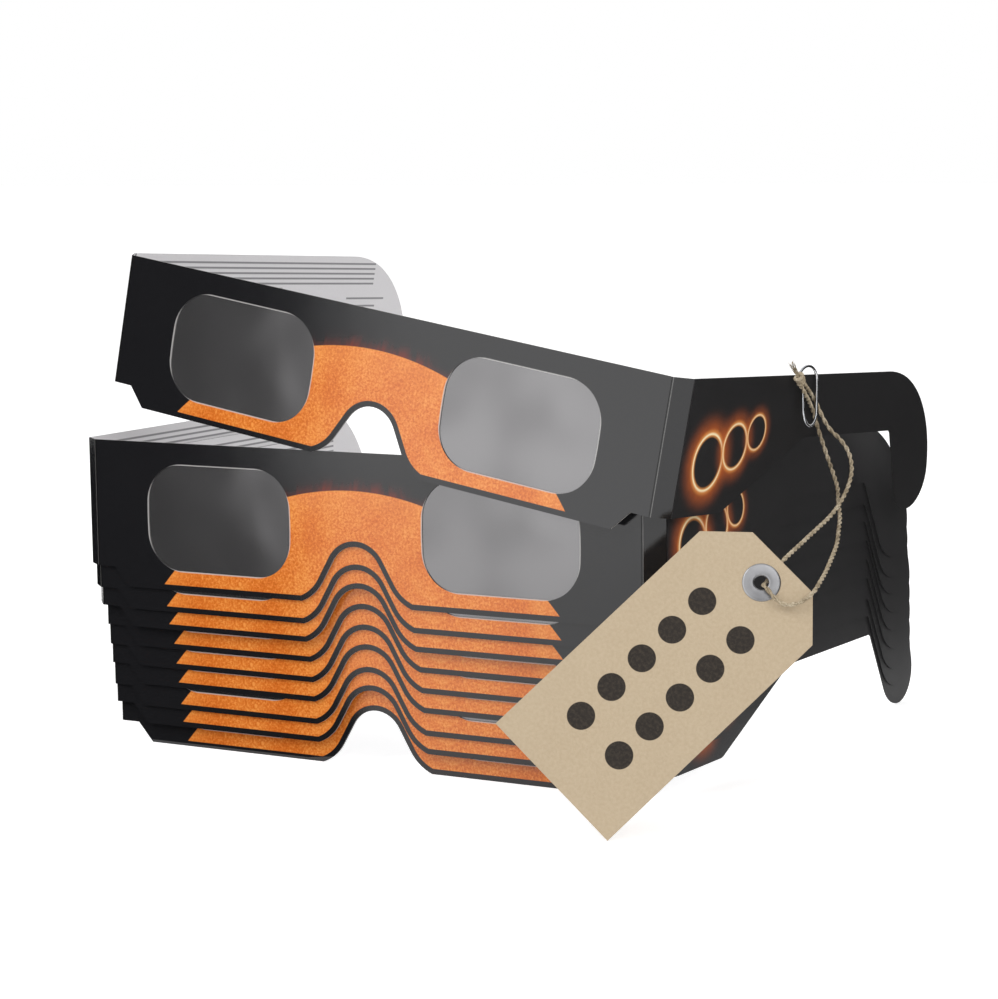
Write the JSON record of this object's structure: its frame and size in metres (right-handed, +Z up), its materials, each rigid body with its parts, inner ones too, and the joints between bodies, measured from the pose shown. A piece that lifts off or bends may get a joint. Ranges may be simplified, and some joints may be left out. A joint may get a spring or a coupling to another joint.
{
  "type": "card eclipse glasses stack",
  "caption": "Stack of nested folding card eclipse glasses with film windows, a tilted pair on top, and a kraft tag held to it by twine and a paper clip.",
  "frame": {"origin": "on the surface that the stack stands on, under the middle of the glasses and clip", "axes": "+Z up; -Y is where the printed fronts face; +X to the right of someone who looks at the fronts"},
  "size_m": [0.1889, 0.1706, 0.1158],
  "materials": {
    "printed_card": "satin",
    "inner_card": "matte",
    "solar_film": "gloss",
    "temple_card": "satin",
    "kraft_card": "matte",
    "eyelet_metal": "satin",
    "jute_twine": "matte",
    "clip_wire": "polished"
  },
  "bodies": {
    "pair_01_front": {"pair_01_front_card": "printed_card", "pair_01_back_card": "inner_card", "pair_01_filters": "solar_film", "tag_card": "kraft_card", "tag_eyelet": "eyelet_metal", "tag_twine": "jute_twine"},
    "pair_01_left_temple": {"pair_01_left_temple": "temple_card"},
    "pair_01_right_temple": {"pair_01_right_temple": "temple_card", "paper_clip": "clip_wire", "twine_knot": "jute_twine"},
    "pair_02_front": {"pair_02_front_card": "printed_card", "pair_02_back_card": "inner_card", "pair_02_filters": "solar_film"},
    "pair_02_left_temple": {"pair_02_left_temple": "temple_card"},
    "pair_02_right_temple": {"pair_02_right_temple": "temple_card"},
    "pair_03_front": {"pair_03_front_card": "printed_card", "pair_03_back_card": "inner_card", "pair_03_filters": "solar_film"},
    "pair_03_left_temple": {"pair_03_left_temple": "temple_card"},
    "pair_03_right_temple": {"pair_03_right_temple": "temple_card"},
    "pair_04_front": {"pair_04_front_card": "printed_card", "pair_04_back_card": "inner_card", "pair_04_filters": "solar_film"},
    "pair_04_left_temple": {"pair_04_left_temple": "temple_card"},
    "pair_04_right_temple": {"pair_04_right_temple": "temple_card"},
    "pair_05_front": {"pair_05_front_card": "printed_card", "pair_05_back_card": "inner_card", "pair_05_filters": "solar_film"},
    "pair_05_left_temple": {"pair_05_left_temple": "temple_card"},
    "pair_05_right_temple": {"pair_05_right_temple": "temple_card"},
    "pair_06_front": {"pair_06_front_card": "printed_card", "pair_06_back_card": "inner_card", "pair_06_filters": "solar_film"},
    "pair_06_left_temple": {"pair_06_left_temple": "temple_card"},
    "pair_06_right_temple": {"pair_06_right_temple": "temple_card"},
    "pair_07_front": {"pair_07_front_card": "printed_card", "pair_07_back_card": "inner_card", "pair_07_filters": "solar_film"},
    "pair_07_left_temple": {"pair_07_left_temple": "temple_card"},
    "pair_07_right_temple": {"pair_07_right_temple": "temple_card"},
    "pair_08_front": {"pair_08_front_card": "printed_card", "pair_08_back_card": "inner_card", "pair_08_filters": "solar_film"},
    "pair_08_left_temple": {"pair_08_left_temple": "temple_card"},
    "pair_08_right_temple": {"pair_08_right_temple": "temple_card"},
    "pair_09_front": {"pair_09_front_card": "printed_card", "pair_09_back_card": "inner_card", "pair_09_filters": "solar_film"},
    "pair_09_left_temple": {"pair_09_left_temple": "temple_card"},
    "pair_09_right_temple": {"pair_09_right_temple": "temple_card"},
    "pair_10_front": {"pair_10_front_card": "printed_card", "pair_10_back_card": "inner_card", "pair_10_filters": "solar_film"},
    "pair_10_left_temple": {"pair_10_left_temple": "temple_card"},
    "pair_10_right_temple": {"pair_10_right_temple": "temple_card"}
  },
  "joints": [
    {"name": "pair_09_lift", "type": "slide", "parent": "pair_10_front", "child": "pair_09_front", "axis": [0, 0, 1], "range_m": [0, 0.045]},
    {"name": "pair_08_lift", "type": "slide", "parent": "pair_09_front", "child": "pair_08_front", "axis": [0, 0, 1], "range_m": [0, 0.045]},
    {"name": "pair_07_lift", "type": "slide", "parent": "pair_08_front", "child": "pair_07_front", "axis": [0, 0, 1], "range_m": [0, 0.045]},
    {"name": "pair_06_lift", "type": "slide", "parent": "pair_07_front", "child": "pair_06_front", "axis": [0, 0, 1], "range_m": [0, 0.045]},
    {"name": "pair_05_lift", "type": "slide", "parent": "pair_06_front", "child": "pair_05_front", "axis": [0, 0, 1], "range_m": [0, 0.045]},
    {"name": "pair_04_lift", "type": "slide", "parent": "pair_05_front", "child": "pair_04_front", "axis": [0, 0, 1], "range_m": [0, 0.045]},
    {"name": "pair_03_lift", "type": "slide", "parent": "pair_04_front", "child": "pair_03_front", "axis": [0, 0, 1], "range_m": [0, 0.045]},
    {"name": "pair_02_lift", "type": "slide", "parent": "pair_03_front", "child": "pair_02_front", "axis": [0, 0, 1], "range_m": [0, 0.045]},
    {"name": "pair_01_lift", "type": "slide", "parent": "pair_02_front", "child": "pair_01_front", "axis": [0, 0, 1], "range_m": [0, 0.045]},
    {"name": "pair_01_left_fold", "type": "hinge", "parent": "pair_01_front", "child": "pair_01_left_temple", "pos_m": [-0.07079, -0.06016, 0.10107], "axis": [0.1649, 0.0514, 0.985], "range_deg": [-80, 90]},
    {"name": "pair_01_right_fold", "type": "hinge", "parent": "pair_01_front", "child": "pair_01_right_temple", "pos_m": [0.07618, -0.065, 0.07672], "axis": [0.1649, 0.0514, 0.985], "range_deg": [-60, 0], "deforming": ["tag_twine"]},
    {"name": "pair_02_left_fold", "type": "hinge", "parent": "pair_02_front", "child": "pair_02_left_temple", "pos_m": [-0.08028, -0.0634, 0.05777], "axis": [0, 0, 1], "range_deg": [0, 90]},
    {"name": "pair_02_right_fold", "type": "hinge", "parent": "pair_02_front", "child": "pair_02_right_temple", "pos_m": [0.07146, -0.0634, 0.05777], "axis": [0, 0, 1], "range_deg": [-60, 0]},
    {"name": "pair_03_left_fold", "type": "hinge", "parent": "pair_03_front", "child": "pair_03_left_temple", "pos_m": [-0.07998, -0.06236, 0.05249], "axis": [0, 0, 1], "range_deg": [0, 90]},
    {"name": "pair_03_right_fold", "type": "hinge", "parent": "pair_03_front", "child": "pair_03_right_temple", "pos_m": [0.07116, -0.06236, 0.05249], "axis": [0, 0, 1], "range_deg": [-60, 0]},
    {"name": "pair_04_left_fold", "type": "hinge", "parent": "pair_04_front", "child": "pair_04_left_temple", "pos_m": [-0.07968, -0.06137, 0.04818], "axis": [0, 0, 1], "range_deg": [0, 90]},
    {"name": "pair_04_right_fold", "type": "hinge", "parent": "pair_04_front", "child": "pair_04_right_temple", "pos_m": [0.07086, -0.06137, 0.04818], "axis": [0, 0, 1], "range_deg": [-60, 0]},
    {"name": "pair_05_left_fold", "type": "hinge", "parent": "pair_05_front", "child": "pair_05_left_temple", "pos_m": [-0.07938, -0.05944, 0.04328], "axis": [0, 0, 1], "range_deg": [0, 90]},
    {"name": "pair_05_right_fold", "type": "hinge", "parent": "pair_05_front", "child": "pair_05_right_temple", "pos_m": [0.07056, -0.05944, 0.04328], "axis": [0, 0, 1], "range_deg": [-60, 0]},
    {"name": "pair_06_left_fold", "type": "hinge", "parent": "pair_06_front", "child": "pair_06_left_temple", "pos_m": [-0.07908, -0.05854, 0.03848], "axis": [0, 0, 1], "range_deg": [0, 90]},
    {"name": "pair_06_right_fold", "type": "hinge", "parent": "pair_06_front", "child": "pair_06_right_temple", "pos_m": [0.07026, -0.05854, 0.03848], "axis": [0, 0, 1], "range_deg": [-60, 0]},
    {"name": "pair_07_left_fold", "type": "hinge", "parent": "pair_07_front", "child": "pair_07_left_temple", "pos_m": [-0.07878, -0.05767, 0.03387], "axis": [0, 0, 1], "range_deg": [0, 90]},
    {"name": "pair_07_right_fold", "type": "hinge", "parent": "pair_07_front", "child": "pair_07_right_temple", "pos_m": [0.06996, -0.05767, 0.03387], "axis": [0, 0, 1], "range_deg": [-60, 0]},
    {"name": "pair_08_left_fold", "type": "hinge", "parent": "pair_08_front", "child": "pair_08_left_temple", "pos_m": [-0.07848, -0.05683, 0.02859], "axis": [0, 0, 1], "range_deg": [0, 90]},
    {"name": "pair_08_right_fold", "type": "hinge", "parent": "pair_08_front", "child": "pair_08_right_temple", "pos_m": [0.06966, -0.05683, 0.02859], "axis": [0, 0, 1], "range_deg": [-60, 0]},
    {"name": "pair_09_left_fold", "type": "hinge", "parent": "pair_09_front", "child": "pair_09_left_temple", "pos_m": [-0.07818, -0.05602, 0.02427], "axis": [0, 0, 1], "range_deg": [0, 90]},
    {"name": "pair_09_right_fold", "type": "hinge", "parent": "pair_09_front", "child": "pair_09_right_temple", "pos_m": [0.06936, -0.05602, 0.02427], "axis": [0, 0, 1], "range_deg": [-60, 0]},
    {"name": "pair_10_left_fold", "type": "hinge", "parent": "pair_10_front", "child": "pair_10_left_temple", "pos_m": [-0.07788, -0.05423, 0.01937], "axis": [0, 0, 1], "range_deg": [-90, 0]},
    {"name": "pair_10_right_fold", "type": "hinge", "parent": "pair_10_front", "child": "pair_10_right_temple", "pos_m": [0.06906, -0.05423, 0.01937], "axis": [0, 0, 1], "range_deg": [0, 87]}
  ],
  "couplings": [
    {"joint": "pair_02_right_fold", "follows": "pair_01_right_fold", "ratio": 1},
    {"joint": "pair_03_left_fold", "follows": "pair_02_left_fold", "ratio": 1},
    {"joint": "pair_03_right_fold", "follows": "pair_01_right_fold", "ratio": 1},
    {"joint": "pair_04_left_fold", "follows": "pair_02_left_fold", "ratio": 1},
    {"joint": "pair_04_right_fold", "follows": "pair_01_right_fold", "ratio": 1},
    {"joint": "pair_05_left_fold", "follows": "pair_02_left_fold", "ratio": 1},
    {"joint": "pair_05_right_fold", "follows": "pair_01_right_fold", "ratio": 1},
    {"joint": "pair_06_left_fold", "follows": "pair_02_left_fold", "ratio": 1},
    {"joint": "pair_06_right_fold", "follows": "pair_01_right_fold", "ratio": 1},
    {"joint": "pair_07_left_fold", "follows": "pair_02_left_fold", "ratio": 1},
    {"joint": "pair_07_right_fold", "follows": "pair_01_right_fold", "ratio": 1},
    {"joint": "pair_08_left_fold", "follows": "pair_02_left_fold", "ratio": 1},
    {"joint": "pair_08_right_fold", "follows": "pair_01_right_fold", "ratio": 1},
    {"joint": "pair_09_left_fold", "follows": "pair_02_left_fold", "ratio": 1},
    {"joint": "pair_09_right_fold", "follows": "pair_01_right_fold", "ratio": 1}
  ]
}
